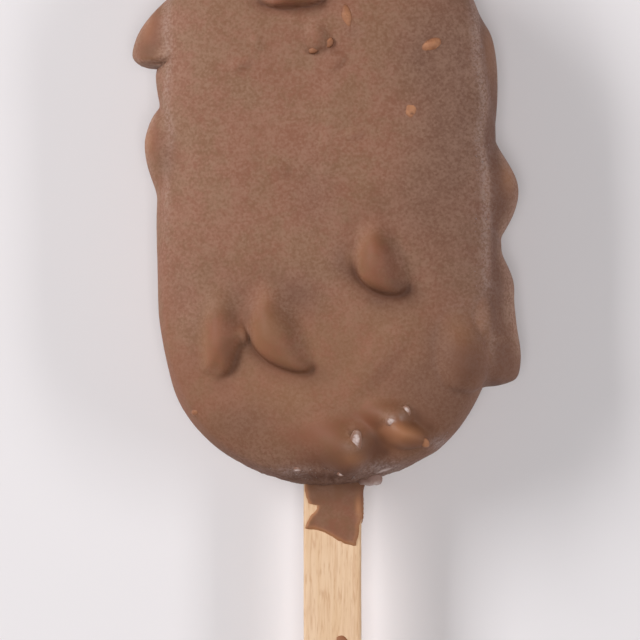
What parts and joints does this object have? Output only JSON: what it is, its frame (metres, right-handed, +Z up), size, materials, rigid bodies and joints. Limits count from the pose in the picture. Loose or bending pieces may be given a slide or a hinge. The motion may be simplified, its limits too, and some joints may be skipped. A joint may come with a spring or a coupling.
{
  "type": "ice cream bar",
  "caption": "Chocolate-coated almond ice cream bar on a flat wooden stick, lying on its back.",
  "frame": {"origin": "on the table, under the middle of the whole bar and stick", "axes": "+Z up out of the face that is shown, -Y along the stick away from the bar, +X to the right of the face"},
  "size_m": [0.0642, 0.147, 0.0257],
  "materials": {
    "milk_chocolate": "satin, dusted with frost",
    "pale_wood": "bare, fine grained"
  },
  "bodies": {
    "root": {"coated_bar": "milk_chocolate", "stick": "pale_wood"}
  },
  "joints": []
}
